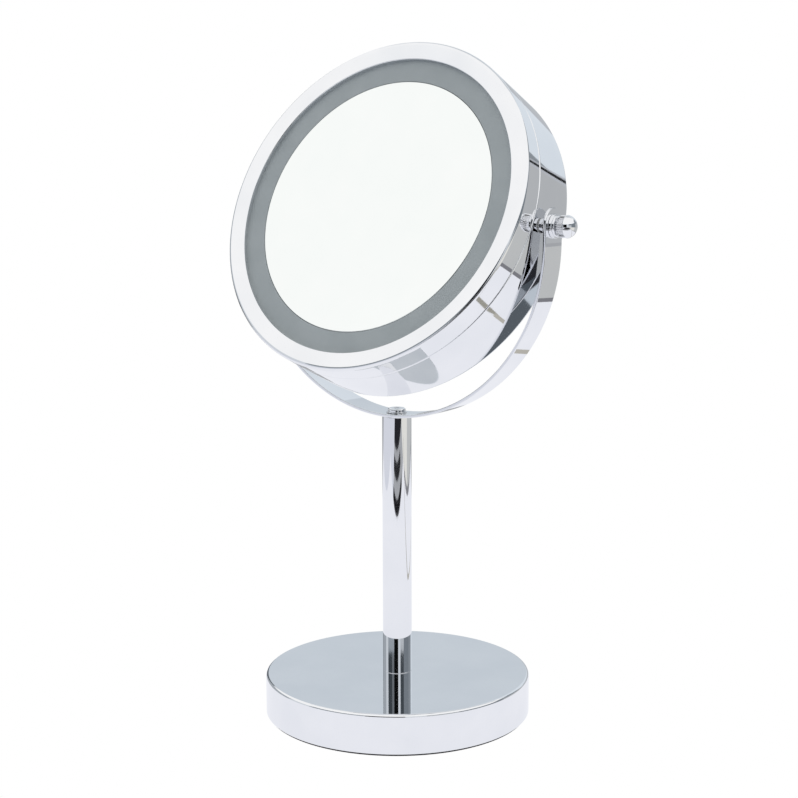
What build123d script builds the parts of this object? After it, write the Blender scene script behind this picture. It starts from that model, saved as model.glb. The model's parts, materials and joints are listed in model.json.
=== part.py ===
from build123d import *
import os
from math import cos, radians, sin, sqrt

# Pedestal vanity mirror: a round lit head that tilts in a U-shaped yoke on a weighted base.
# Millimetres. +Z is up, X is the tilt axis, the lit mirror faces -Y and is tilted up.
# The origin is the middle of the base's underside.

# ---- driving dimensions ----
BASE_R = 65.0
BASE_TOP_Z = 20.1
BASE_EDGE_R = 0.8
COVER_WALL = 0.8
FOOT_H = 1.2
PLATE_T = 1.4
WEIGHT_T = 7.0

COLUMN_R = 7.1
COLUMN_WALL = 1.0
INSERT_H = 20.0

PIVOT_Z = 241.5
TILT_DEG = 25.0

YOKE_R = 84.9
YOKE_T = 1.5
YOKE_W = 14.4
YOKE_DROP = 7.2
YOKE_TAB_RISE = 1.0

HEAD_R = 82.4
SHELL_T = 1.5
HEAD_EDGE_R = 1.8
FRONT_D = 23.3
RIM_DISH = 1.4
SEAM_D = 11.2
REAR_D = -16.8
SEAM_GAP = 0.2
RIM_R = 73.5
LIP_T = 1.2

GLASS_FRONT_D = 19.8
GLASS_T = 3.0
CLEAR_R = 62.7
DIFFUSER_T = 2.0
FIT_GAP = 0.2
MOVE_GAP = 0.3

REAR_GLASS_R = 75.7
REAR_GLASS_SAG = 5.0

# The front cover's spigot reaches into the rear shell and locks there with bayonet lugs.
LUG_COUNT = 3
LUG_SPAN = 24.0
TAB_SPAN = 30.0
FIRST_LUG_DEG = 30.0
SPIGOT_IN_R = 76.5
SPIGOT_OUT_R = 77.8
LUG_OUT_R = 79.8
LUG_LOW_D = 4.7
LUG_T = 2.0
TAB_T = 1.5

TRAY_LOW_D = -3.9
TRAY_T = 1.2
TRAY_R = 75.6
TRAY_SCREW_R = 78.0
TRAY_SCREW_COUNT = 3
FIRST_SCREW_DEG = 30.0

CELL_R = 7.1
CELL_L = 49.0
CELL_COUNT = 4
CELL_PITCH = 15.4

LIGHT_TRAY_D = 8.2
LIGHT_TRAY_TOP_D = 14.2
BOARD_T = 1.2
LED_COUNT = 24
LED_RING_R = 68.8

BUTTON_R = 3.6
BUTTON_D = -1.4
BUTTON_STAND = 1.3

INSERT_R = 3.2
INSERT_L = 4.2
STUD_R = 2.0
STUD_GAP = 0.08
KNOB_R = 5.3
KNOB_L = 3.3
INNER_WASHER_T = 1.4
OUTER_WASHER_T = 1.1
SPACER_R = 3.5
KNURL_COUNT = 28

# ---- derived places ----
SHELL_IN_R = HEAD_R - SHELL_T
REAR_GLASS_D = REAR_D + SHELL_T + 0.1
TAB_LOW_D = LUG_LOW_D + LUG_T + MOVE_GAP
YOKE_CENTRE_Z = PIVOT_Z - YOKE_DROP
YOKE_OUT_R = YOKE_R + YOKE_T
COLUMN_TOP_Z = YOKE_CENTRE_Z - YOKE_OUT_R
COLUMN_IN_R = COLUMN_R - COLUMN_WALL
TILT = radians(TILT_DEG)
HEAD = Plane(origin=(0, 0, PIVOT_Z), x_dir=(1, 0, 0), z_dir=(0, -cos(TILT), sin(TILT))).location

parts = {}


# ---- shape helpers ----
def disc(radius, low, high):
    """A round plate about Z between two heights."""
    return Pos(0, 0, (low + high) / 2) * Cylinder(radius, high - low)


def ring(inner, outer, low, high):
    """A round washer about Z between two heights."""
    return disc(outer, low, high) - disc(inner, low - 1, high + 1)


def ring_sector(inner, outer, low, high, middle_deg, span_deg):
    """Part of a ring, span_deg wide, centred on middle_deg from +X."""
    upright = Plane.XZ * Pos((inner + outer) / 2, (low + high) / 2) * Rectangle(outer - inner, high - low)
    return Rot(0, 0, middle_deg - span_deg / 2) * revolve(upright, Axis.Z, span_deg)


def on_x(radius, start, end):
    """A rod along X between two x positions."""
    return Pos((start + end) / 2, 0, 0) * Rot(0, 90, 0) * Cylinder(radius, abs(end - start))


def outer_edges(solid, height):
    """The largest round edge of a solid at one height."""
    level = solid.edges().filter_by(GeomType.CIRCLE).filter_by_position(Axis.Z, height - 0.01, height + 0.01)
    return level.sort_by(SortBy.RADIUS)[-1]


def around(shape, radius, count, first_deg=0.0):
    """Copies of a shape set on a circle about Z."""
    step = 360 / count
    return [Rot(0, 0, first_deg + i * step) * Pos(radius, 0, 0) * shape for i in range(count)]


def group(shapes):
    """Separate solids kept together as one node."""
    return Compound(children=[s for shape in shapes for s in shape.solids()])


def in_head(shape):
    """Place a shape drawn in the head's own frame, where Z is the mirror's axis."""
    return HEAD * shape


# ---- base ----
def make_base():
    cover = disc(BASE_R, FOOT_H, BASE_TOP_Z)
    cover = fillet(outer_edges(cover, BASE_TOP_Z), BASE_EDGE_R)
    cover -= disc(BASE_R - COVER_WALL, FOOT_H - 1, BASE_TOP_Z - COVER_WALL)
    screw_r = 3.0
    cover -= disc(screw_r + 0.1, 0, BASE_TOP_Z + 1)
    parts["base_cover"] = cover

    plate_top = FOOT_H + PLATE_T
    inner_r = BASE_R - COVER_WALL - 0.4
    weight_top = BASE_TOP_Z - COVER_WALL
    weight_low = weight_top - WEIGHT_T
    weight = disc(inner_r, weight_low, weight_top) - disc(screw_r + 0.1, 0, BASE_TOP_Z)
    weight += ring(inner_r - 8, inner_r, plate_top, weight_low + 0.1)
    parts["base_weight"] = weight

    parts["base_bottom_plate"] = disc(inner_r, FOOT_H, plate_top)
    parts["base_foot_pad"] = disc(BASE_R - 0.3, 0, FOOT_H)

    washer_t = 1.2
    parts["base_screw_washer"] = ring(screw_r + 0.1, 7.5, weight_low - washer_t, weight_low)
    head_top = weight_low - washer_t
    hexagon = extrude(Pos(0, 0, head_top - 4.0) * RegularPolygon(5.5, 6), 4.0)
    shank = disc(screw_r, head_top - 0.5, BASE_TOP_Z + INSERT_H - 4)
    parts["base_screw"] = hexagon + shank


# ---- column ----
def make_column():
    tube = ring(COLUMN_IN_R, COLUMN_R, BASE_TOP_Z, COLUMN_TOP_Z)
    parts["column_tube"] = tube
    parts["column_lower_insert"] = ring(3.0, COLUMN_IN_R, BASE_TOP_Z, BASE_TOP_Z + INSERT_H)
    parts["column_upper_insert"] = ring(2.5, COLUMN_IN_R, COLUMN_TOP_Z - INSERT_H, COLUMN_TOP_Z)


# ---- yoke ----
def make_yoke():
    tab_z = PIVOT_Z + YOKE_TAB_RISE
    top_z = tab_z + YOKE_W / 2 + 5
    arm_mid = (YOKE_CENTRE_Z + top_z) / 2
    arm_h = top_z - YOKE_CENTRE_Z

    def filled(radius):
        bowl = Plane.XZ * Pos(0, YOKE_CENTRE_Z) * Circle(radius)
        arms = Plane.XZ * Pos(0, arm_mid) * Rectangle(2 * radius, arm_h)
        return bowl + arms

    above = Plane.XZ * Pos(0, top_z + YOKE_OUT_R / 2) * Rectangle(4 * YOKE_OUT_R, YOKE_OUT_R)
    section = filled(YOKE_OUT_R) - filled(YOKE_R) - above
    strip = extrude(section, YOKE_W / 2, both=True)
    tab = Plane.YZ * (Pos(0, tab_z) * Circle(YOKE_W / 2))
    body = Plane.YZ * (Pos(0, tab_z / 2) * Rectangle(YOKE_W, tab_z))
    strip &= extrude(tab + body, 2 * YOKE_OUT_R, both=True)
    strip -= Pos(0, 0, PIVOT_Z) * on_x(STUD_R + STUD_GAP, -YOKE_OUT_R - 1, YOKE_OUT_R + 1)
    screw_r = 2.5
    strip -= disc(screw_r + 0.1, COLUMN_TOP_Z - 1, COLUMN_TOP_Z + YOKE_T + 1)
    parts["yoke_strip"] = strip

    washer_z = YOKE_CENTRE_Z - sqrt(YOKE_R ** 2 - 4.9 ** 2)
    parts["yoke_screw_washer"] = ring(screw_r + 0.1, 4.9, washer_z, washer_z + 0.5)
    head_low = washer_z + 0.5
    head = disc(4.6, head_low, head_low + 2.2)
    head = fillet(outer_edges(head, head_low + 2.2), 1.4)
    shank = disc(screw_r, COLUMN_TOP_Z - 12, head_low + 0.5)
    parts["yoke_cap_screw"] = head + shank


# ---- front cover: twists off the head for the batteries ----
def make_front_cover():
    outer = disc(HEAD_R, SEAM_D + SEAM_GAP / 2, FRONT_D)
    outer = fillet(outer_edges(outer, FRONT_D), HEAD_EDGE_R)
    flat_r = HEAD_R - HEAD_EDGE_R
    outer -= Pos(0, 0, FRONT_D - RIM_DISH / 2) * Cone(RIM_R, flat_r, RIM_DISH)
    hollow = disc(SHELL_IN_R, SEAM_D - 1, FRONT_D - RIM_DISH - 1)
    lip = ring(RIM_R, RIM_R + LIP_T, GLASS_FRONT_D, FRONT_D - RIM_DISH - 0.5)
    bezel = outer - hollow - disc(RIM_R, 0, FRONT_D + 1) + lip
    parts["front_bezel"] = in_head(bezel)

    glass_back = GLASS_FRONT_D - GLASS_T
    parts["front_mirror_glass"] = in_head(disc(CLEAR_R, glass_back, GLASS_FRONT_D))

    ledge_r = CLEAR_R - 5
    diffuser = ring(CLEAR_R + FIT_GAP, SHELL_IN_R - FIT_GAP, GLASS_FRONT_D - DIFFUSER_T, GLASS_FRONT_D)
    diffuser += ring(CLEAR_R + FIT_GAP, CLEAR_R + 1.8, glass_back - DIFFUSER_T, GLASS_FRONT_D - 0.5)
    diffuser += ring(ledge_r, CLEAR_R + 1.8, glass_back - DIFFUSER_T, glass_back)
    parts["light_diffuser"] = in_head(diffuser)

    parts["mirror_foam_pad"] = in_head(disc(ledge_r - FIT_GAP, glass_back - 1.0, glass_back))
    plate = disc(ledge_r + 3, glass_back - DIFFUSER_T - 1.4, glass_back - DIFFUSER_T)
    plate += disc(ledge_r - FIT_GAP, glass_back - DIFFUSER_T - 0.1, glass_back - 1.0)
    parts["mirror_back_plate"] = in_head(plate)

    flange_top = GLASS_FRONT_D - DIFFUSER_T
    flange_low = flange_top - 2.4
    retainer = ring(SPIGOT_IN_R, SHELL_IN_R - FIT_GAP, flange_low, flange_top)
    retainer += ring(SPIGOT_IN_R, SPIGOT_OUT_R, LUG_LOW_D, flange_low + 0.1)
    for i in range(LUG_COUNT):
        middle = FIRST_LUG_DEG + i * 360 / LUG_COUNT
        retainer += ring_sector(SPIGOT_IN_R + 0.2, LUG_OUT_R, LUG_LOW_D, LUG_LOW_D + LUG_T, middle, LUG_SPAN)
    parts["bayonet_retainer"] = in_head(retainer)


# ---- rear shell and the magnifying mirror ----
def make_rear_shell():
    outer = disc(HEAD_R, REAR_D, SEAM_D - SEAM_GAP / 2)
    outer = fillet(outer_edges(outer, REAR_D), HEAD_EDGE_R)
    shell = outer - disc(SHELL_IN_R, REAR_D + SHELL_T, SEAM_D + 1) - disc(RIM_R, REAR_D - 1, 0)
    for i in range(LUG_COUNT):
        middle = FIRST_LUG_DEG + i * 360 / LUG_COUNT
        shell += ring_sector(SPIGOT_OUT_R + MOVE_GAP, SHELL_IN_R + 0.2,
                             TAB_LOW_D, TAB_LOW_D + TAB_T, middle, TAB_SPAN)
    post = disc(2.4, REAR_D + SHELL_T - 0.2, TRAY_LOW_D) - disc(1.0, TRAY_LOW_D - 6, TRAY_LOW_D + 1)
    for placed in around(post, TRAY_SCREW_R, TRAY_SCREW_COUNT, FIRST_SCREW_DEG):
        shell += placed
    for side in (-1, 1):
        shell += on_x(LUG_LOW_D - MOVE_GAP, side * (SHELL_IN_R - INSERT_L), side * (SHELL_IN_R + 0.6))
        shell -= on_x(INSERT_R, side * (SHELL_IN_R - 6), side * (HEAD_R - 0.6))
        shell -= on_x(STUD_R + STUD_GAP, side * (SHELL_IN_R - 6), side * (HEAD_R + 1))
    button_hole = Pos(0, HEAD_R, BUTTON_D) * Rot(90, 0, 0) * Cylinder(BUTTON_R + MOVE_GAP, 12)
    shell -= button_hole
    parts["rear_shell"] = in_head(shell)


def make_rear_mirror():
    curve_r = (REAR_GLASS_R ** 2 + REAR_GLASS_SAG ** 2) / (2 * REAR_GLASS_SAG)
    blank = disc(REAR_GLASS_R, REAR_GLASS_D, REAR_GLASS_D + REAR_GLASS_SAG + GLASS_T + 2)
    face_centre = REAR_GLASS_D + REAR_GLASS_SAG - curve_r
    face = Pos(0, 0, face_centre) * Sphere(curve_r)
    back = Pos(0, 0, face_centre) * Sphere(curve_r + GLASS_T)
    glass = (blank & back) - face
    parts["rear_mirror_glass"] = in_head(glass)

    low = REAR_GLASS_D + GLASS_T + 0.5
    retainer = ring(REAR_GLASS_R - 2.5, REAR_GLASS_R, low, low + 1.6)
    parts["rear_mirror_clip_ring"] = in_head(retainer)


# ---- chassis, batteries and light ----
def cell_places():
    """Where each battery's axis crosses the tray, side by side, and which way it faces."""
    first = -(CELL_COUNT - 1) / 2 * CELL_PITCH
    return [(first + i * CELL_PITCH, 1 if i % 2 else -1) for i in range(CELL_COUNT)]


def make_chassis():
    floor_top = TRAY_LOW_D + TRAY_T
    tray = disc(TRAY_R, TRAY_LOW_D, floor_top)
    tray += ring(TRAY_R - TRAY_T, TRAY_R, TRAY_LOW_D, LIGHT_TRAY_D)
    for side in (-1, 1):
        wall = Box(CELL_COUNT * CELL_PITCH + 4, 1.4, CELL_R + 2)
        tray += Pos(0, side * (CELL_L / 2 + 5.5), floor_top - 0.1 + (CELL_R + 2) / 2) * wall
        tray -= on_x(6.2, side * (SHELL_IN_R - 8), side * (SHELL_IN_R))
    tab = disc(2.7, TRAY_LOW_D, floor_top) - disc(1.1, TRAY_LOW_D - 1, floor_top + 1)
    for placed in around(tab, TRAY_SCREW_R, TRAY_SCREW_COUNT, FIRST_SCREW_DEG):
        tray += placed
    parts["battery_tray"] = in_head(tray)

    screw = disc(1.9, floor_top, floor_top + 1.2) + disc(1.0, TRAY_LOW_D - 5, floor_top + 0.1)
    parts["tray_screws"] = in_head(group(around(screw, TRAY_SCREW_R, TRAY_SCREW_COUNT, FIRST_SCREW_DEG)))


def make_batteries():
    level = TRAY_LOW_D + TRAY_T + CELL_R + 0.15
    cells = []
    springs = []
    plates = []
    wall_y = CELL_L / 2 + 4.8
    for x, facing in cell_places():
        upright = Rot(-90 * facing, 0, 0)
        barrel = Cylinder(CELL_R, CELL_L) + Pos(0, 0, CELL_L / 2 + 0.5) * Cylinder(2.7, 1.0)
        cells.append(Pos(x, 0, level) * upright * barrel)
        tail = facing * -1
        length = wall_y - 0.5 - CELL_L / 2
        cone = Pos(0, 0, -CELL_L / 2 - length / 2) * Rot(180, 0, 0) * Cone(5.2, 3.0, length)
        springs.append(Pos(x, 0, level) * upright * cone)
        for end in (-1, 1):
            thickness = 0.5 if end == tail else wall_y - CELL_L / 2 - 1.0
            plate = Box(10, thickness, 2 * CELL_R - 3)
            plates.append(Pos(x, end * (wall_y - thickness / 2), level) * plate)
    parts["battery_cells"] = in_head(group(cells))
    parts["battery_springs"] = in_head(group(springs))
    parts["battery_plates"] = in_head(group(plates))


def make_light():
    wall = 1.0
    inner_r = CLEAR_R - 0.9
    outer_r = TRAY_R + 0.5
    tray = ring(inner_r, outer_r, LIGHT_TRAY_D, LIGHT_TRAY_TOP_D)
    tray -= ring(inner_r + wall, outer_r - wall, LIGHT_TRAY_D + wall, LIGHT_TRAY_TOP_D + 1)
    parts["light_tray"] = in_head(tray)

    board_low = LIGHT_TRAY_D + wall
    board = ring(inner_r + wall + 0.3, outer_r - wall - 0.3, board_low, board_low + BOARD_T)
    parts["led_board"] = in_head(board)
    chip = Pos(0, 0, board_low + BOARD_T + 0.6) * Box(2.8, 3.5, 1.2)
    parts["led_chips"] = in_head(group(around(chip, LED_RING_R, LED_COUNT)))
    resistor = Pos(0, 0, board_low + BOARD_T + 0.5) * Box(2.0, 3.2, 1.0)
    parts["led_resistors"] = in_head(group(around(resistor, LED_RING_R, 3, 7.5)))


def make_switch():
    middle = SHELL_IN_R - 3.3
    body = Pos(0, middle, BUTTON_D) * Box(6.2, 3.4, 6.2)
    body -= Pos(0, middle + 0.8, BUTTON_D) * Rot(90, 0, 0) * Cylinder(1.5, 2.4)
    parts["switch_body"] = in_head(body)
    top = HEAD_R + BUTTON_STAND
    cap_low = middle + 2.7
    cap = Pos(0, 0, (cap_low + top) / 2) * Cylinder(BUTTON_R, top - cap_low)
    cap = fillet(outer_edges(cap, top), 0.6)
    stem = Pos(0, 0, middle + 1.8) * Cylinder(1.2, 2.0)
    parts["switch_button"] = in_head(Pos(0, 0, BUTTON_D) * Rot(-90, 0, 0) * (cap + stem))


# ---- pivots and knobs ----
def make_pivot(side, sign):
    def at(shape):
        placed = shape if sign > 0 else mirror(shape, Plane.YZ)
        return Pos(0, 0, PIVOT_Z) * placed

    strip_in = YOKE_R
    strip_out = YOKE_OUT_R
    insert = on_x(INSERT_R, SHELL_IN_R - INSERT_L, HEAD_R - 0.6) - on_x(STUD_R + STUD_GAP, 70, HEAD_R)
    parts[f"{side}_pivot_insert"] = at(insert)
    bore = on_x(STUD_R + STUD_GAP, 80, 100)
    parts[f"{side}_pivot_spacer"] = at(on_x(SPACER_R, HEAD_R, strip_in - 0.6) - bore)
    parts[f"{side}_friction_washer"] = at(on_x(SPACER_R, strip_in - 0.6, strip_in - 0.1) - bore)

    inner = strip_out + 0.1
    outer = inner + INNER_WASHER_T
    grip_start = outer + OUTER_WASHER_T
    tight_bore = on_x(STUD_R, 80, 105)
    parts[f"{side}_inner_knob_washer"] = at(on_x(5.5, inner, outer) - tight_bore)
    parts[f"{side}_outer_knob_washer"] = at(on_x(4.9, outer, grip_start) - tight_bore)

    dome_centre = grip_start + KNOB_L
    knob = on_x(KNOB_R - 0.3, grip_start, dome_centre) + Pos(dome_centre, 0, 0) * Sphere(KNOB_R)
    knob &= on_x(KNOB_R + 1, grip_start, dome_centre + KNOB_R + 1)
    groove = Pos(grip_start + 1.3, 0, KNOB_R) * Rot(45, 0, 0) * Box(2.6, 0.75, 0.75)
    for i in range(KNURL_COUNT):
        knob -= Rot(i * 360 / KNURL_COUNT, 0, 0) * groove
    knob -= on_x(STUD_R, grip_start - 1, dome_centre)
    parts[f"{side}_knob"] = at(knob)
    parts[f"{side}_knob_stud"] = at(on_x(STUD_R, SHELL_IN_R - INSERT_L, dome_centre))


make_base()
make_column()
make_yoke()
make_front_cover()
make_rear_shell()
make_rear_mirror()
make_chassis()
make_batteries()
make_light()
make_switch()
for side_name, side_sign in (("left", -1), ("right", 1)):
    make_pivot(side_name, side_sign)

os.makedirs("parts", exist_ok=True)
for node, shape in parts.items():
    export_step(shape, f"parts/{node}.step")
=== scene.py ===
import json
from math import acos, atan2, ceil, cos, pi, radians, sin, sqrt

import bmesh
import bpy
from mathutils import Matrix, Vector


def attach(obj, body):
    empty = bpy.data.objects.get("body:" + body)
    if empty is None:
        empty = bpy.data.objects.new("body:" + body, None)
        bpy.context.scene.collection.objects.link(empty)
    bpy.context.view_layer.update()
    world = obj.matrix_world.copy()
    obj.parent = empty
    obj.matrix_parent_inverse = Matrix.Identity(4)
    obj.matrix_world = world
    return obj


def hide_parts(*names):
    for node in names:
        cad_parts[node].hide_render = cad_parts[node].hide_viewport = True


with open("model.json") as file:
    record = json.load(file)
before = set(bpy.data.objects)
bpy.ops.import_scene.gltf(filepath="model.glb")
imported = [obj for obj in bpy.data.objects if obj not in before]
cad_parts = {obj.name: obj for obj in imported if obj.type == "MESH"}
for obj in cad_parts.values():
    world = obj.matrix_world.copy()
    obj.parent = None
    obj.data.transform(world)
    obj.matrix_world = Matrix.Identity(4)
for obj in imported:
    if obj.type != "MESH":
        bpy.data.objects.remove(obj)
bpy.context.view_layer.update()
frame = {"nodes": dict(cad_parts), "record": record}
MM = 0.001

# ---- places and sizes, in millimetres ----
# They are the CAD model's, except where a comment says that the visible piece differs.
BASE_R = 65.0
BASE_TOP_Z = 20.1
# The CAD model rounds this edge at 0.8, and its foot pad reaches 0.6 further out than the visible one.
BASE_EDGE_R = 1.4
COVER_WALL = 0.8
FOOT_H = 1.2
# The CAD cover stops at the foot pad's height, 0.1 higher.
COVER_LOW = 1.1
COLUMN_R = 7.1
COLUMN_WALL = 1.0
PIVOT_Z = 241.5
TILT = radians(25.0)
YOKE_R = 84.9
YOKE_T = 1.5
YOKE_W = 14.4
YOKE_DROP = 7.2
YOKE_TAB_RISE = 1.0
YOKE_CENTRE_Z = PIVOT_Z - YOKE_DROP
YOKE_OUT_R = YOKE_R + YOKE_T
COLUMN_TOP_Z = YOKE_CENTRE_Z - YOKE_OUT_R
HEAD_R = 82.4
SHELL_T = 1.5
SHELL_IN_R = HEAD_R - SHELL_T
HEAD_EDGE_R = 1.8
FRONT_D = 23.3
RIM_DISH = 1.4
SEAM_D = 11.2
SEAM_GAP = 0.2
REAR_D = -16.8
RIM_R = 73.5
LIP_T = 1.2
GLASS_D = 19.8
GLASS_T = 3.0
CLEAR_R = 62.7
DIFFUSER_T = 2.0
FIT_GAP = 0.2
REAR_GLASS_R = 75.7
REAR_GLASS_SAG = 5.0
REAR_GLASS_D = REAR_D + SHELL_T + 0.1
BUTTON_R = 3.6
BUTTON_D = -1.4
BUTTON_STAND = 1.3
STUD_R = 2.0
STUD_GAP = 0.08
KNOB_R = 5.3
KNOB_L = 3.3
INNER_WASHER_T = 1.4
OUTER_WASHER_T = 1.1
SPACER_R = 3.5
KNURL_COUNT = 28
KNURL_DEPTH = 0.7
# The CAD model's knurls are shorter.
KNURL_L = 3.6
KNURL_FADE = 0.5
KNOB_CHAMFER = 0.3
# The CAD model's seam has sharper edges.
SEAM_EDGE_R = 0.6
BASE_BORE_R = 3.1
STRIP_EDGE_R = 0.35
CAP_WASHER_R = 4.9
CAP_WASHER_T = 0.5
# The CAD model's cap screw has a head of 4.6 by 2.2.
CAP_HEAD_R = 4.3
CAP_HEAD_H = 1.7
CAP_SOCKET_R = 1.4
CAP_SHANK_R = 2.5
CAP_SHANK_L = 12.0
CAP_WASHER_BORE_R = 2.6
INNER_WASHER_R = 5.5
OUTER_WASHER_R = 4.9
FRICTION_WASHER_T = 0.5
WASHER_GAP = 0.1
GRIP_INSET = 0.3

CAMERA_AZIMUTH = radians(35.74)
TOWARDS_CAMERA = Vector((sin(CAMERA_AZIMUTH), -cos(CAMERA_AZIMUTH), 0))
CAMERA_RIGHT = Vector((cos(CAMERA_AZIMUTH), sin(CAMERA_AZIMUTH), 0))
BACKDROP_R = 6000
CARD_DISTANCE = 3500
CARD_CENTRE = Vector((0, 0, 200))
STREAK_Z = -0.3

AXIS_OUT = Vector((0, -cos(TILT), sin(TILT)))
AXIS_UP = Vector((0, sin(TILT), cos(TILT)))
HEAD = Matrix.Translation((0, 0, PIVOT_Z * MM)) @ Matrix((
    (1, 0, 0, 0),
    (0, AXIS_UP.y, AXIS_OUT.y, 0),
    (0, AXIS_UP.z, AXIS_OUT.z, 0),
    (0, 0, 0, 1),
))
STAND = Matrix.Identity(4)


def along_x(sign):
    """Frame whose Z runs out along the tilt axis, to the right (1) or left (-1)."""
    turn = Matrix.Rotation(sign * pi / 2, 4, "Y")
    return Matrix.Translation((0, 0, PIVOT_Z * MM)) @ turn


# ---- mesh helpers ----
def rounded(corners, step_deg=9.0):
    """An outline from (x, y, corner radius) points, with each corner turned into an arc."""
    out = []
    count = len(corners)
    for i, (x, y, r) in enumerate(corners):
        here = Vector((x, y))
        if r <= 0:
            out.append(here)
            continue
        before = (Vector(corners[i - 1][:2]) - here).normalized()
        after = (Vector(corners[(i + 1) % count][:2]) - here).normalized()
        half = acos(max(-1.0, min(1.0, before.dot(after)))) / 2
        reach = r / max(1e-6, sin(half) / cos(half))
        centre = here + (before + after).normalized() * (r / sin(half))
        start = here + before * reach - centre
        end = here + after * reach - centre
        turn = atan2(start.x * end.y - start.y * end.x, start.dot(end))
        steps = max(2, ceil(abs(turn) / radians(step_deg)))
        for k in range(steps + 1):
            a = turn * k / steps
            out.append(centre + Vector((start.x * cos(a) - start.y * sin(a),
                                        start.x * sin(a) + start.y * cos(a))))
    return out


def new_object(name, bm, materials, matrix=STAND, smooth=True):
    """Turn a bmesh in millimetres into an object in metres, in the row frame."""
    bmesh.ops.remove_doubles(bm, verts=bm.verts, dist=1e-4)
    bmesh.ops.recalc_face_normals(bm, faces=bm.faces)
    mesh = bpy.data.meshes.new(name)
    bm.to_mesh(mesh)
    bm.free()
    mesh.transform(matrix @ Matrix.Scale(MM, 4))
    if matrix.to_3x3().determinant() < 0:
        mesh.flip_normals()
    mesh.polygons.foreach_set("use_smooth", [smooth] * len(mesh.polygons))
    for material in materials:
        mesh.materials.append(material)
    obj = bpy.data.objects.new(name, mesh)
    bpy.context.scene.collection.objects.link(obj)
    return obj


def weigh_normals(obj):
    """Keep broad faces flat where small edge roundings meet them."""
    modifier = obj.modifiers.new("normals", "WEIGHTED_NORMAL")
    modifier.weight = 100
    modifier.keep_sharp = True
    return obj


def spin(bm, outline, segments, material_of=None):
    """Turn a closed (radius, height) outline about Z."""
    rings = []
    for p in outline:
        if p[0] < 1e-6:
            rings.append([bm.verts.new((0, 0, p[1]))])
            continue
        ring = []
        for k in range(segments):
            a = 2 * pi * k / segments
            ring.append(bm.verts.new((p[0] * cos(a), p[0] * sin(a), p[1])))
        rings.append(ring)
    for i, ring in enumerate(rings):
        nxt = rings[(i + 1) % len(rings)]
        if len(ring) == 1 and len(nxt) == 1:
            continue
        index = material_of(outline[i], outline[(i + 1) % len(outline)]) if material_of else 0
        for k in range(segments):
            j = (k + 1) % segments
            if len(ring) == 1:
                face = bm.faces.new((ring[0], nxt[j], nxt[k]))
            elif len(nxt) == 1:
                face = bm.faces.new((ring[k], ring[j], nxt[0]))
            else:
                face = bm.faces.new((ring[k], ring[j], nxt[j], nxt[k]))
            face.material_index = index


def lathe(name, corners, materials, matrix=STAND, segments=256, material_of=None, step_deg=9.0):
    """A turned piece from (radius, height, corner radius) corners."""
    bm = bmesh.new()
    spin(bm, rounded(corners, step_deg), segments, material_of)
    return weigh_normals(new_object(name, bm, materials, matrix))


def place(obj, body, node):
    """Stand a finished piece in for its CAD node."""
    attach(obj, body)
    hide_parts(node)
    return obj


# ---- materials ----
class Nodes:
    """Short calls for building a material's node tree."""

    def __init__(self, name):
        self.material = bpy.data.materials.new(name)
        self.material.use_nodes = True
        self.tree = self.material.node_tree
        self.shader = self.tree.nodes["Principled BSDF"]

    def add(self, kind, **values):
        node = self.tree.nodes.new(kind)
        for key, value in values.items():
            if key in node.inputs:
                node.inputs[key].default_value = value
            else:
                setattr(node, key, value)
        return node

    def link(self, source, target):
        self.tree.links.new(source, target)

    def set(self, **values):
        for key, value in values.items():
            self.shader.inputs[key.replace("_", " ")].default_value = value

    def noise(self, scale, detail=3.0, roughness=0.5):
        coords = self.add("ShaderNodeTexCoord")
        noise = self.add("ShaderNodeTexNoise", Scale=scale, Detail=detail, Roughness=roughness)
        self.link(coords.outputs["Object"], noise.inputs["Vector"])
        return noise

    def spread(self, source, low, high, target, span=(0.3, 0.7)):
        """Drive a number socket between low and high from a texture."""
        ramp = self.add("ShaderNodeMapRange")
        ramp.inputs["From Min"].default_value = span[0]
        ramp.inputs["From Max"].default_value = span[1]
        ramp.inputs["To Min"].default_value = low
        ramp.inputs["To Max"].default_value = high
        self.link(source, ramp.inputs["Value"])
        self.link(ramp.outputs["Result"], target)

    def tint(self, source, dark, light, span=(0.35, 0.65)):
        """Drive the base colour between two colours from a texture."""
        ramp = self.add("ShaderNodeValToRGB")
        ramp.color_ramp.elements[0].position = span[0]
        ramp.color_ramp.elements[0].color = (*dark, 1)
        ramp.color_ramp.elements[1].position = span[1]
        ramp.color_ramp.elements[1].color = (*light, 1)
        self.link(source, ramp.inputs["Fac"])
        self.link(ramp.outputs["Color"], self.shader.inputs["Base Color"])

    def bump(self, source, strength, distance_mm):
        bump = self.add("ShaderNodeBump", Strength=strength, Distance=distance_mm * MM)
        self.link(source, bump.inputs["Height"])
        self.link(bump.outputs["Normal"], self.shader.inputs["Normal"])


def metal(name, dark, light, low, high, grain, bump_mm, bump_strength=0.2):
    """Bare or plated metal with faint smears in its colour and gloss."""
    m = Nodes(name)
    m.set(Metallic=1.0)
    smear = m.noise(38.0, 5.0)
    m.tint(smear.outputs["Fac"], dark, light)
    m.spread(smear.outputs["Fac"], low, high, m.shader.inputs["Roughness"])
    m.bump(m.noise(grain, 3.0).outputs["Fac"], bump_strength, bump_mm)
    return m.material


def plastic(name, dark, light, low, high, grain=1500.0, bump_mm=0.02, bump_strength=0.25):
    """Moulded plastic, foam or rubber with a fine surface grain."""
    m = Nodes(name)
    m.set(Metallic=0.0)
    shade = m.noise(60.0, 4.0)
    m.tint(shade.outputs["Fac"], dark, light)
    m.spread(shade.outputs["Fac"], low, high, m.shader.inputs["Roughness"])
    m.bump(m.noise(grain, 4.0).outputs["Fac"], bump_strength, bump_mm)
    return m.material


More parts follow.
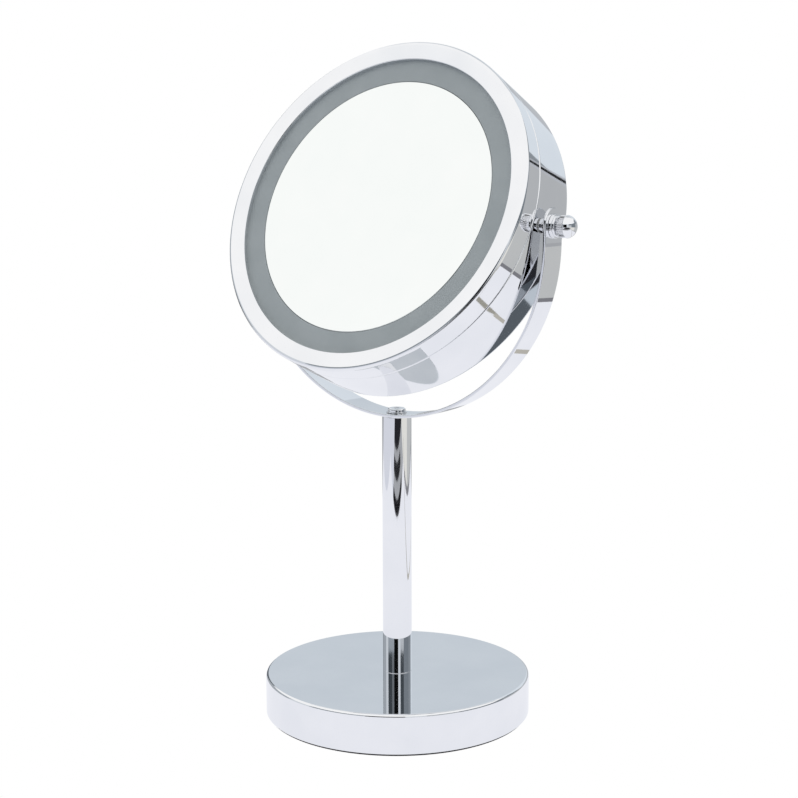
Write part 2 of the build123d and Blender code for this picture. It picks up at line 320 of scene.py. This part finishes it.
def make_materials():
    """A material for each slot: darker and lighter tint, lowest and highest roughness, grain, bump."""
    metals = {
        "chrome": ((0.86, 0.87, 0.89), (0.90, 0.905, 0.92), 0.015, 0.045, 300.0, 0.0004),
        "chromed_plastic": ((0.86, 0.87, 0.89), (0.90, 0.905, 0.92), 0.02, 0.05, 220.0, 0.0006),
        "cast_iron": ((0.10, 0.10, 0.11), (0.20, 0.20, 0.21), 0.55, 0.75, 700.0, 0.08, 0.6),
        "zinc_steel": ((0.52, 0.54, 0.57), (0.68, 0.69, 0.70), 0.25, 0.40, 1200.0, 0.004),
        "nickel_spring": ((0.62, 0.60, 0.55), (0.76, 0.74, 0.70), 0.18, 0.30, 1200.0, 0.003),
        "brass": ((0.66, 0.46, 0.20), (0.83, 0.62, 0.30), 0.15, 0.28, 900.0, 0.004),
        "mirror_glass": ((0.925, 0.95, 0.935), (0.94, 0.96, 0.945), 0.0, 0.012, 40.0, 0.00005),
    }
    plastics = {
        "white_plastic": ((0.80, 0.80, 0.79), (0.86, 0.86, 0.85), 0.38, 0.50),
        "black_plastic": ((0.02, 0.02, 0.022), (0.04, 0.04, 0.042), 0.40, 0.55),
        "foot_foam": ((0.010, 0.010, 0.011), (0.028, 0.028, 0.03), 0.80, 0.95, 2600.0, 0.08, 0.6),
        "foam_tape": ((0.74, 0.74, 0.72), (0.84, 0.84, 0.82), 0.80, 0.92, 2400.0, 0.06, 0.5),
        "cell_jacket": ((0.05, 0.07, 0.13), (0.08, 0.10, 0.18), 0.22, 0.32, 700.0, 0.004),
        "board": ((0.84, 0.85, 0.83), (0.90, 0.91, 0.89), 0.30, 0.42, 900.0, 0.004),
        "led_lens": ((0.88, 0.80, 0.42), (0.93, 0.88, 0.56), 0.12, 0.20, 900.0, 0.002),
        "nylon": ((0.80, 0.80, 0.76), (0.87, 0.87, 0.84), 0.35, 0.48),
        "frosted_acrylic": ((0.36, 0.40, 0.41), (0.40, 0.44, 0.45), 0.42, 0.52, 1800.0, 0.01),
    }
    made = {name: metal(name, *look) for name, look in metals.items()}
    made.update({name: plastic(name, *look) for name, look in plastics.items()})
    return made


MATERIALS = make_materials()


def dress_cad_nodes():
    """Give every carried-over CAD node its slot's material."""
    for row in frame["record"]["subparts"]:
        obj = frame["nodes"][row["node"]]
        obj.data.materials.clear()
        obj.data.materials.append(MATERIALS[row["material_slot"]])


# ---- base and column ----
def make_stand():
    chrome = [MATERIALS["chrome"]]
    inner = BASE_R - COVER_WALL
    cover = lathe("base_cover_skin", [
        (BASE_BORE_R, BASE_TOP_Z, 0), (BASE_R, BASE_TOP_Z, BASE_EDGE_R), (BASE_R, COVER_LOW, 0.2),
        (inner, COVER_LOW, 0.2), (inner, BASE_TOP_Z - COVER_WALL, 0.5),
        (BASE_BORE_R, BASE_TOP_Z - COVER_WALL, 0),
    ], chrome, segments=360, step_deg=6.0)
    place(cover, "stand", "base_cover")

    pad = lathe("base_foot_pad_skin", [
        (0, FOOT_H, 0), (inner - 0.1, FOOT_H, 0.2), (inner - 0.1, 0, 0.4), (0, 0, 0),
    ], [MATERIALS["foot_foam"]], segments=256)
    place(pad, "stand", "base_foot_pad")

    bore = COLUMN_R - COLUMN_WALL
    tube = lathe("column_tube_skin", [
        (COLUMN_R, BASE_TOP_Z, 0.25), (COLUMN_R, COLUMN_TOP_Z, 0.3),
        (bore, COLUMN_TOP_Z, 0.1), (bore, BASE_TOP_Z, 0.1),
    ], chrome, segments=192)
    place(tube, "stand", "column_tube")


def yoke_stations():
    """Centre line of the strip, from the right tab down and round to the left one.

    Each station is a place, the outward normal there and half the strip's width.
    """
    tab_z = PIVOT_Z + YOKE_TAB_RISE
    tab_r = YOKE_W / 2
    middle = YOKE_R + YOKE_T / 2
    arm = []
    for k in range(25):
        a = pi / 2 * (1 - k / 24)
        arm.append((tab_z + tab_r * sin(a), max(0.02, tab_r * cos(a))))
    for k in range(1, 9):
        arm.append((tab_z + (YOKE_CENTRE_Z - tab_z) * k / 8, tab_r))
    stations = [(Vector((middle, 0, z)), Vector((1, 0, 0)), half) for z, half in arm]
    for k in range(1, 180):
        a = -pi * k / 180
        out = Vector((cos(a), 0, sin(a)))
        stations.append((Vector((0, 0, YOKE_CENTRE_Z)) + out * middle, out, tab_r))
    stations += [(Vector((-middle, 0, z)), Vector((-1, 0, 0)), half) for z, half in reversed(arm)]
    return stations


def make_yoke():
    half_t = YOKE_T / 2
    bm = bmesh.new()
    loops = []
    for centre, out, half in yoke_stations():
        r = min(STRIP_EDGE_R, half * 0.9)
        corners = [(-half_t, -half, r), (half_t, -half, r), (half_t, half, r), (-half_t, half, r)]
        section = rounded(corners, 15.0)
        loops.append([bm.verts.new(centre + out * p.x + Vector((0, p.y, 0))) for p in section])
    for a, b in zip(loops, loops[1:]):
        for k in range(len(a)):
            j = (k + 1) % len(a)
            bm.faces.new((a[k], a[j], b[j], b[k]))
    bm.faces.new(loops[0])
    bm.faces.new(reversed(loops[-1]))
    strip = weigh_normals(new_object("yoke_strip_skin", bm, [MATERIALS["chrome"]]))
    place(strip, "stand", "yoke_strip")

    low = YOKE_CENTRE_Z - sqrt(YOKE_R ** 2 - CAP_WASHER_R ** 2)
    head = low + CAP_WASHER_T
    washer = lathe("yoke_screw_washer_skin", [
        (CAP_WASHER_BORE_R, low, 0.05), (CAP_WASHER_R, low, 0.12), (CAP_WASHER_R, head, 0.15),
        (CAP_WASHER_BORE_R, head, 0.05),
    ], [MATERIALS["chrome"]], segments=96)
    place(washer, "stand", "yoke_screw_washer")
    top = head + CAP_HEAD_H
    socket = head + 0.6
    tip = COLUMN_TOP_Z - CAP_SHANK_L
    screw = lathe("yoke_cap_screw_skin", [
        (0, socket, 0), (CAP_SOCKET_R, socket, 0.1), (CAP_SOCKET_R, top, 0.25), (CAP_HEAD_R, top, 1.0),
        (CAP_HEAD_R, head, 0.15), (CAP_SHANK_R, head, 0), (CAP_SHANK_R, tip, 0.2), (0, tip, 0),
    ], [MATERIALS["chrome"]], segments=128)
    place(screw, "stand", "yoke_cap_screw")


# ---- head ----
def make_head():
    shiny = MATERIALS["chromed_plastic"]
    bezel = lathe("front_bezel_skin", [
        (HEAD_R, SEAM_D + SEAM_GAP / 2, SEAM_EDGE_R), (HEAD_R, FRONT_D, HEAD_EDGE_R),
        (RIM_R, FRONT_D - RIM_DISH, 0.35), (RIM_R, GLASS_D, 0.1), (RIM_R + LIP_T, GLASS_D, 0.1),
        (RIM_R + LIP_T, FRONT_D - RIM_DISH - 1, 0.2),
        (SHELL_IN_R, FRONT_D - RIM_DISH - 1, 0.3), (SHELL_IN_R, SEAM_D + SEAM_GAP / 2, 0.1),
    ], [shiny], HEAD, segments=360, step_deg=6.0)
    place(bezel, "front_cover", "front_bezel")

    glass = lathe("front_mirror_glass_skin", [
        (0, GLASS_D, 0), (CLEAR_R, GLASS_D, 0.25),
        (CLEAR_R, GLASS_D - GLASS_T, 0.1), (0, GLASS_D - GLASS_T, 0),
    ], [MATERIALS["mirror_glass"]], HEAD, segments=256)
    place(glass, "front_cover", "front_mirror_glass")

    outer = SHELL_IN_R - FIT_GAP
    inner = CLEAR_R + FIT_GAP
    low = GLASS_D - GLASS_T
    diffuser = lathe("light_diffuser_skin", [
        (inner, GLASS_D, 0.15), (outer, GLASS_D, 0.2), (outer, GLASS_D - DIFFUSER_T, 0.2),
        (CLEAR_R + 1.8, GLASS_D - DIFFUSER_T, 0.3), (CLEAR_R + 1.8, low - DIFFUSER_T, 0.2),
        (CLEAR_R - 5, low - DIFFUSER_T, 0.1), (CLEAR_R - 5, low, 0.1), (inner, low, 0.05),
    ], [MATERIALS["frosted_acrylic"]], HEAD, segments=256)
    place(diffuser, "front_cover", "light_diffuser")

    shell = lathe("rear_shell_skin", [
        (HEAD_R, SEAM_D - SEAM_GAP / 2, SEAM_EDGE_R), (SHELL_IN_R, SEAM_D - SEAM_GAP / 2, 0.1),
        (SHELL_IN_R, REAR_D + SHELL_T, 0.3), (RIM_R, REAR_D + SHELL_T, 0.1), (RIM_R, REAR_D, 0.35),
        (HEAD_R, REAR_D, HEAD_EDGE_R),
    ], [shiny], HEAD, segments=360, step_deg=6.0)
    place(shell, "head", "rear_shell")

    curve_r = (REAR_GLASS_R ** 2 + REAR_GLASS_SAG ** 2) / (2 * REAR_GLASS_SAG)
    centre = REAR_GLASS_D + REAR_GLASS_SAG - curve_r
    steps = 40
    face = [(REAR_GLASS_R * k / steps, centre + sqrt(curve_r ** 2 - (REAR_GLASS_R * k / steps) ** 2), 0)
            for k in range(steps + 1)]
    back_r = curve_r + GLASS_T
    back = [(r, centre + sqrt(back_r ** 2 - r ** 2), 0) for r, z, c in reversed(face)]
    rear = lathe("rear_mirror_glass_skin", face + back, [MATERIALS["mirror_glass"]], HEAD, segments=256)
    place(rear, "head", "rear_mirror_glass")

    middle = SHELL_IN_R - 3.3
    top = HEAD_R + BUTTON_STAND
    button_frame = HEAD @ Matrix.Translation((0, 0, BUTTON_D * MM)) @ Matrix.Rotation(-pi / 2, 4, "X")
    button = lathe("switch_button_skin", [
        (0, top, 0), (BUTTON_R, top, 0.6), (BUTTON_R, middle + 2.7, 0.2), (1.2, middle + 2.7, 0.1),
        (1.2, middle + 0.8, 0.1), (0, middle + 0.8, 0),
    ], [shiny], button_frame, segments=96)
    place(button, "switch_button", "switch_button")


# ---- pivots and knobs ----
def make_knob(side, sign):
    """One pivot, from the drum outwards: spacer, friction washer, two washers and the knurled, domed knob."""
    chrome = MATERIALS["chrome"]
    frame_x = along_x(sign)
    knob_body = f"{side}_knob"
    hole = STUD_R + STUD_GAP

    def washer(name, bore, radius, low, high, material, edge=0.15):
        corners = [(bore, low, 0.05), (radius, low, edge), (radius, high, edge), (bore, high, 0.05)]
        return lathe(name, corners, [material], frame_x, segments=96)

    slip_high = YOKE_R - WASHER_GAP
    slip_low = slip_high - FRICTION_WASHER_T
    nylon = MATERIALS["nylon"]
    spacer = washer(f"{side}_pivot_spacer_skin", hole, SPACER_R, HEAD_R, slip_low, chrome)
    place(spacer, "head", f"{side}_pivot_spacer")
    slip = washer(f"{side}_friction_washer_skin", hole, SPACER_R, slip_low, slip_high, nylon)
    place(slip, "head", f"{side}_friction_washer")
    inner = YOKE_OUT_R + WASHER_GAP
    outer = inner + INNER_WASHER_T
    start = outer + OUTER_WASHER_T
    first = washer(f"{side}_inner_knob_washer_skin", STUD_R, INNER_WASHER_R, inner, outer, chrome, 0.25)
    place(first, knob_body, f"{side}_inner_knob_washer")
    second = washer(f"{side}_outer_knob_washer_skin", STUD_R, OUTER_WASHER_R, outer, start, chrome, 0.25)
    place(second, knob_body, f"{side}_outer_knob_washer")

    dome = start + KNOB_L
    grip_r = KNOB_R - GRIP_INSET
    segments = KNURL_COUNT * 12
    bm = bmesh.new()
    grip = start + KNOB_CHAMFER
    heights = [start, start + KNOB_CHAMFER / 2, grip] + [grip + KNURL_L * k / 12 for k in range(1, 13)]
    heights += [grip + KNURL_L + KNURL_FADE * k / 4 for k in range(1, 5)]
    loops = []
    for h in heights:
        depth = min(1.0, max(0.0, (grip + KNURL_L + KNURL_FADE - h) / KNURL_FADE))
        lead = KNOB_CHAMFER * max(0.0, 1 - (h - start) / KNOB_CHAMFER)
        ring = []
        for k in range(segments):
            a = 2 * pi * k / segments
            groove = (0.5 + 0.5 * cos(a * KNURL_COUNT)) * KNURL_DEPTH * depth
            r = min(grip_r, sqrt(KNOB_R ** 2 - (h - dome) ** 2)) - lead - groove
            ring.append(bm.verts.new((r * cos(a), r * sin(a), h)))
        loops.append(ring)
    knurl_end = heights[-1]
    dome_steps = 40
    start_angle = -acos(min(1.0, grip_r / KNOB_R))
    for k in range(1, dome_steps + 1):
        a = start_angle + (pi / 2 - start_angle) * k / dome_steps
        z = dome + KNOB_R * sin(a)
        if z <= knurl_end + 0.05:
            continue
        r = KNOB_R * cos(a)
        if k == dome_steps:
            loops.append([bm.verts.new((0, 0, z))])
        else:
            turns = [2 * pi * s / segments for s in range(segments)]
            loops.append([bm.verts.new((r * cos(t), r * sin(t), z)) for t in turns])
    for a, b in zip(loops, loops[1:]):
        for k in range(segments):
            j = (k + 1) % segments
            if len(b) == 1:
                bm.faces.new((a[k], a[j], b[0]))
            else:
                bm.faces.new((a[k], a[j], b[j], b[k]))
    bm.faces.new(list(reversed(loops[0])))
    knob = new_object(f"{side}_knob_skin", bm, [chrome], frame_x)
    place(knob, knob_body, f"{side}_knob")


# ---- studio ----
def glow(name, colour, strength=1.0):
    """A surface that gives even light, for the studio's sheets and cards."""
    m = Nodes(name)
    m.set(Base_Color=(0, 0, 0, 1), Roughness=1.0, Specular_IOR_Level=0.0)
    m.set(Emission_Color=(*colour, 1), Emission_Strength=strength)
    return m.material


def seen_by(obj, camera, reflections):
    """Which rays meet a studio piece: the camera's own, or those of light and reflections."""
    obj.visible_camera = camera
    obj.visible_diffuse = reflections
    obj.visible_glossy = reflections
    obj.visible_transmission = reflections
    obj.visible_shadow = False


def make_floor():
    """The white floor and backdrop. Only the camera sees them, so they take no shadow and no reflection."""
    white = glow("backdrop_white", (1.0, 1.0, 1.0))
    bm = bmesh.new()
    bmesh.ops.create_circle(bm, cap_ends=True, radius=BACKDROP_R, segments=96)
    seen_by(new_object("floor", bm, [white], Matrix.Translation((0, 0, -0.00002))), True, False)
    bm = bmesh.new()
    bmesh.ops.create_uvsphere(bm, u_segments=48, v_segments=24, radius=BACKDROP_R)
    seen_by(new_object("backdrop", bm, [white]), True, False)



def on_floor(along, across, z):
    """A place on the floor: this far towards the camera and this far to its right, in mm."""
    return TOWARDS_CAMERA * along + CAMERA_RIGHT * across + Vector((0, 0, z))


def sheet(name, colour, along, across, z=0.0):
    """A flat oblong on the floor, seen in reflections, with its two spans as for on_floor."""
    bm = bmesh.new()
    corners = [(along[0], across[0]), (along[1], across[0]), (along[1], across[1]), (along[0], across[1])]
    bm.faces.new([bm.verts.new(on_floor(a, b, z)) for a, b in corners])
    seen_by(new_object(name, bm, [glow(name, colour)]), False, True)


def streak(name, colour, start, end, width):
    """A narrow line of painted shade for a crease across the table, between two (towards camera, to its
    right) places, in mm.
    """
    a = on_floor(*start, STREAK_Z)
    b = on_floor(*end, STREAK_Z)
    side = (b - a).normalized().cross(Vector((0, 0, 1))) * width / 2
    bm = bmesh.new()
    bm.faces.new([bm.verts.new(p) for p in (a - side, b - side, b + side, a + side)])
    seen_by(new_object(name, bm, [glow(name, colour)]), False, True)


def make_sheets():
    """The white table the object stands on, with painted shadow lines at its edges, and the room's floor
    beyond.
    """
    sheet("room_floor", (0.40, 0.41, 0.43), (-4000, 4000), (-4000, 4000), -3)
    sheet("right_floor", (0.54, 0.55, 0.55), (-2500, 50), (500, 2600), -2)
    sheet("right_front_floor", (0.80, 0.79, 0.75), (50, 2000), (500, 2600), -2)
    sheet("left_floor", (0.70, 0.72, 0.79), (-500, 1800), (-2600, -250), -2)
    sheet("back_left_floor", (0.03, 0.03, 0.035), (-3900, -900), (-3000, -180), -2)
    sheet("front_floor", (0.02, 0.02, 0.024), (700, 1900), (-250, 800), -1)
    sheet("table", (0.885, 0.895, 0.945), (-480, 430), (-520, 500), -0.5)
    # Painted shadow: dark lines along the table's right and front edges, where those edges lie in shade.
    sheet("table_right_edge_shadow", (0.22, 0.22, 0.24), (-480, 300), (500, 535), -0.4)
    sheet("table_front_edge_shadow", (0.012, 0.012, 0.014), (430, 490), (-250, 330), -0.4)
    sheet("dark_strip", (0.02, 0.02, 0.022), (560, 640), (-250, 300), -0.4)
    # Painted shade: the darker beige line of a crease across the table, in two pieces.
    streak("cloth_crease_shade", (0.50, 0.48, 0.43), (-350, 232), (0, 256), 14)
    streak("cloth_front_crease_shade", (0.34, 0.33, 0.29), (0, 256), (450, 610), 16)


def card(name, grey, azimuths, elevations, cool=1.08):
    """A curved card round the object, seen in reflections: spans in degrees, azimuth from -Y towards +X."""
    bm = bmesh.new()
    columns = max(2, ceil(abs(azimuths[1] - azimuths[0]) / 4))
    rows = []
    for el in elevations:
        ring = []
        for k in range(columns + 1):
            az = radians(azimuths[0] + (azimuths[1] - azimuths[0]) * k / columns)
            out = Vector((sin(az) * cos(radians(el)), -cos(az) * cos(radians(el)), sin(radians(el))))
            ring.append(bm.verts.new(CARD_CENTRE + out * CARD_DISTANCE))
        rows.append(ring)
    for k in range(columns):
        bm.faces.new((rows[0][k], rows[0][k + 1], rows[1][k + 1], rows[1][k]))
    seen_by(new_object(name, bm, [glow(name, (grey, grey * (1 + cool) / 2, grey * cool))]), False, True)


def make_cards():
    """The room's walls, seen only in the chrome: grey and dark areas with hard edges.

    Their places suit the photographed side, and other sides can show a whole dark card.
    """
    card("right_back_wall", 0.47, (136, 167), (-6, 11), 1.06)
    card("right_back_shelf", 0.01, (158, 180), (11.5, 12.0))
    card("right_back_upper", 0.26, (136, 167), (12.3, 33), 1.2)
    card("back_window", 0.72, (167, 207), (12.3, 40), 1.16)
    card("back_wall", 0.50, (167, 207), (-6, 11), 1.1)
    card("back_left_wall", 0.60, (207, 228), (-6, 33), 1.18)
    card("left_back_post", 0.11, (228, 243), (-6, 23), 1.3)
    card("left_wall", 0.40, (243, 292), (-6, 23), 1.15)
    card("left_lamp", 0.68, (292, 317), (-6, 23), 1.1)
    card("left_front_dark", 0.05, (317, 352), (15, 23), 1.35)
    card("front_grey", 0.16, (-8, 9), (15, 23), 1.2)
    card("left_front_wall", 0.36, (317, 368), (-6, 15), 1.2)
    card("front_dark", 0.004, (9, 42), (-6, 23))
    card("right_front_lamp", 0.68, (42, 60), (-6, 23), 1.1)
    card("right_dark", 0.06, (60, 92), (15, 23), 1.35)
    card("right_front_wall", 0.55, (60, 88), (-6, 15), 1.1)
    card("right_wall", 0.20, (88, 136), (-6, 23), 1.25)
    card("back_ceiling", 0.62, (160, 245), (42, 76), 1.1)


def make_world():
    """Even light from all round: grey at the horizon and below it, rising to white overhead."""
    world = bpy.data.worlds.new("studio")
    bpy.context.scene.world = world
    world.use_nodes = True
    tree = world.node_tree
    coords = tree.nodes.new("ShaderNodeTexCoord")
    parts = tree.nodes.new("ShaderNodeSeparateXYZ")
    tree.links.new(coords.outputs["Generated"], parts.inputs["Vector"])
    ramp = tree.nodes.new("ShaderNodeValToRGB")
    spread = tree.nodes.new("ShaderNodeMapRange")
    spread.inputs["From Min"].default_value = -1.0
    spread.inputs["From Max"].default_value = 1.0
    tree.links.new(parts.outputs["Z"], spread.inputs["Value"])
    stops = [
        (0.50, (0.44, 0.45, 0.47)), (0.60, (0.50, 0.52, 0.56)),
        (0.66, (0.70, 0.76, 0.84)), (0.75, (1.0, 1.0, 1.0)),
    ]
    elements = ramp.color_ramp.elements
    while len(elements) < len(stops):
        elements.new(0.5)
    for element, (place_at, colour) in zip(elements, stops):
        element.position = place_at
        element.color = (*colour, 1)
    tree.links.new(spread.outputs["Result"], ramp.inputs["Fac"])
    tree.links.new(ramp.outputs["Color"], tree.nodes["Background"].inputs["Color"])
    tree.nodes["Background"].inputs["Strength"].default_value = 1.0


def make_camera():
    elevation = radians(9.07)
    distance = 0.78046
    aside = 0.0011
    target = CAMERA_RIGHT * aside + Vector((0, 0, 0.15596))
    back = TOWARDS_CAMERA * cos(elevation) + Vector((0, 0, sin(elevation)))
    data = bpy.data.cameras.new("camera")
    data.sensor_width = 36.0
    data.lens = 72.86
    data.clip_start = 0.05
    data.clip_end = 50.0
    camera = bpy.data.objects.new("camera", data)
    camera.location = target + back * distance
    roll = Matrix.Rotation(radians(-0.15), 4, "Z")
    camera.rotation_euler = ((-back).to_track_quat("-Z", "Y").to_matrix().to_4x4() @ roll).to_euler()
    bpy.context.scene.collection.objects.link(camera)
    bpy.context.scene.camera = camera


bpy.context.scene.view_settings.view_transform = "Standard"
make_camera()
make_world()
make_floor()
make_sheets()
make_cards()
dress_cad_nodes()
make_stand()
make_yoke()
make_head()
for side_name, side_sign in (("left", -1), ("right", 1)):
    make_knob(side_name, side_sign)
